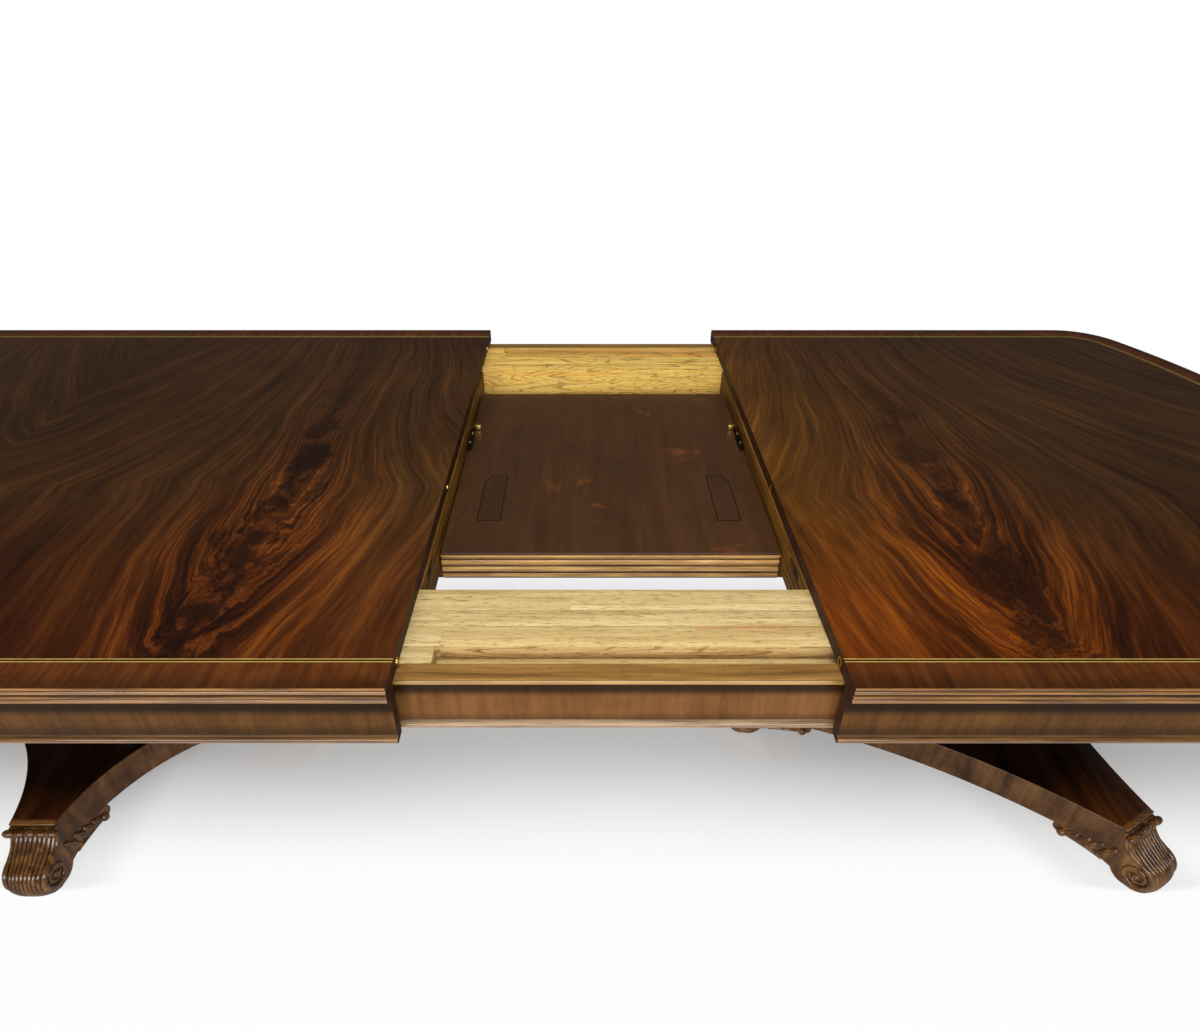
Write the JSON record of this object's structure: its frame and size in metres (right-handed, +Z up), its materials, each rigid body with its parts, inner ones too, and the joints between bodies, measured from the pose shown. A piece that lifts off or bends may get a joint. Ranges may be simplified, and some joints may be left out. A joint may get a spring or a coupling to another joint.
{
  "type": "triple pedestal dining table",
  "caption": "Extending dining table: inlaid veneered tops on turned pedestals with platform bases and scroll feet, sliding oak leaf wells and folding leaves stored under the tops.",
  "frame": {"origin": "on the floor under the centre column, at the middle of the drawn-out table", "axes": "+X along the table's length, +Y from the front edge to the back edge, +Z up"},
  "size_m": [4.715, 1.22, 0.712],
  "materials": {
    "crotch_mahogany": "glossy lacquered crotch mahogany veneer with a crossbanded border and string inlay",
    "apron_mahogany": "satin lacquered cross-grain mahogany veneer",
    "turned_mahogany": "satin lacquered turned mahogany",
    "pedestal_mahogany": "satin lacquered mahogany veneer",
    "carved_mahogany": "carved, stained and rubbed mahogany",
    "oak": "pale oiled laminated oak",
    "golden_oak": "golden stained oak",
    "leaf_mahogany": "dark satin mahogany veneer",
    "brass": "turned brass, slightly dull"
  },
  "bodies": {
    "centre": {"centre_top": "crotch_mahogany", "centre_apron_front": "apron_mahogany", "centre_apron_back": "apron_mahogany", "centre_runner_front": "oak", "centre_runner_back": "oak", "centre_cleat": "golden_oak", "centre_column": "turned_mahogany", "centre_platform": "pedestal_mahogany", "centre_foot_front": "carved_mahogany", "centre_foot_back": "carved_mahogany", "centre_foot_left": "carved_mahogany", "centre_foot_right": "carved_mahogany", "right_pin_front": "brass", "right_pin_middle": "brass", "right_pin_back": "brass", "left_pin_front": "brass", "left_pin_middle": "brass", "left_pin_back": "brass"},
    "right_end": {"right_top": "crotch_mahogany", "right_apron_front": "apron_mahogany", "right_apron_back": "apron_mahogany", "right_apron_end": "apron_mahogany", "right_runner_front": "oak", "right_runner_back": "oak", "right_cleat": "golden_oak", "right_column": "turned_mahogany", "right_platform": "pedestal_mahogany", "right_foot_inner": "carved_mahogany", "right_foot_front": "carved_mahogany", "right_foot_back": "carved_mahogany"},
    "right_well": {"right_well_rail_front": "apron_mahogany", "right_well_rail_back": "apron_mahogany", "right_bank_front": "oak", "right_bank_back": "oak", "right_side_rail_inner": "golden_oak", "right_side_rail_outer": "golden_oak"},
    "right_leaf_lower": {"right_leaf_lower": "leaf_mahogany", "right_leaf_hinge": "brass"},
    "right_leaf_upper": {"right_leaf_upper": "leaf_mahogany"},
    "left_end": {"left_top": "crotch_mahogany", "left_apron_front": "apron_mahogany", "left_apron_back": "apron_mahogany", "left_apron_end": "apron_mahogany", "left_runner_front": "oak", "left_runner_back": "oak", "left_cleat": "golden_oak", "left_column": "turned_mahogany", "left_platform": "pedestal_mahogany", "left_foot_inner": "carved_mahogany", "left_foot_front": "carved_mahogany", "left_foot_back": "carved_mahogany"},
    "left_well": {"left_well_rail_front": "apron_mahogany", "left_well_rail_back": "apron_mahogany", "left_bank_front": "oak", "left_bank_back": "oak", "left_side_rail_inner": "golden_oak", "left_side_rail_outer": "golden_oak"},
    "left_leaf_lower": {"left_leaf_lower": "leaf_mahogany", "left_leaf_hinge": "brass"},
    "left_leaf_upper": {"left_leaf_upper": "leaf_mahogany"}
  },
  "joints": [
    {"name": "right_end_slide", "type": "slide", "parent": "centre", "child": "right_end", "axis": [1, 0, 0], "range_m": [-0.534, 0]},
    {"name": "right_well_slide", "type": "slide", "parent": "centre", "child": "right_well", "axis": [1, 0, 0], "range_m": [-0.267, 0]},
    {"name": "right_leaf_lift", "type": "slide", "parent": "right_well", "child": "right_leaf_lower", "axis": [0, -0.8192, 0.5735], "range_m": [0, 0.42114]},
    {"name": "right_leaf_unfold", "type": "hinge", "parent": "right_leaf_lower", "child": "right_leaf_upper", "pos_m": [1.05, 0.345, 0.63487], "axis": [-1, 0, 0], "range_deg": [0, 180]},
    {"name": "left_end_slide", "type": "slide", "parent": "centre", "child": "left_end", "axis": [-1, 0, 0], "range_m": [-0.534, 0]},
    {"name": "left_well_slide", "type": "slide", "parent": "centre", "child": "left_well", "axis": [-1, 0, 0], "range_m": [-0.267, 0]},
    {"name": "left_leaf_lift", "type": "slide", "parent": "left_well", "child": "left_leaf_lower", "axis": [0, -0.8192, 0.5735], "range_m": [0, 0.42114]},
    {"name": "left_leaf_unfold", "type": "hinge", "parent": "left_leaf_lower", "child": "left_leaf_upper", "pos_m": [-1.05, 0.345, 0.63487], "axis": [-1, 0, 0], "range_deg": [0, 180]}
  ],
  "couplings": [
    {"joint": "right_well_slide", "follows": "right_end_slide", "ratio": 0.5},
    {"joint": "right_leaf_unfold", "follows": "right_leaf_lift", "rad_per_m": 7.4597},
    {"joint": "left_well_slide", "follows": "left_end_slide", "ratio": 0.5},
    {"joint": "left_leaf_unfold", "follows": "left_leaf_lift", "rad_per_m": 7.4597}
  ]
}
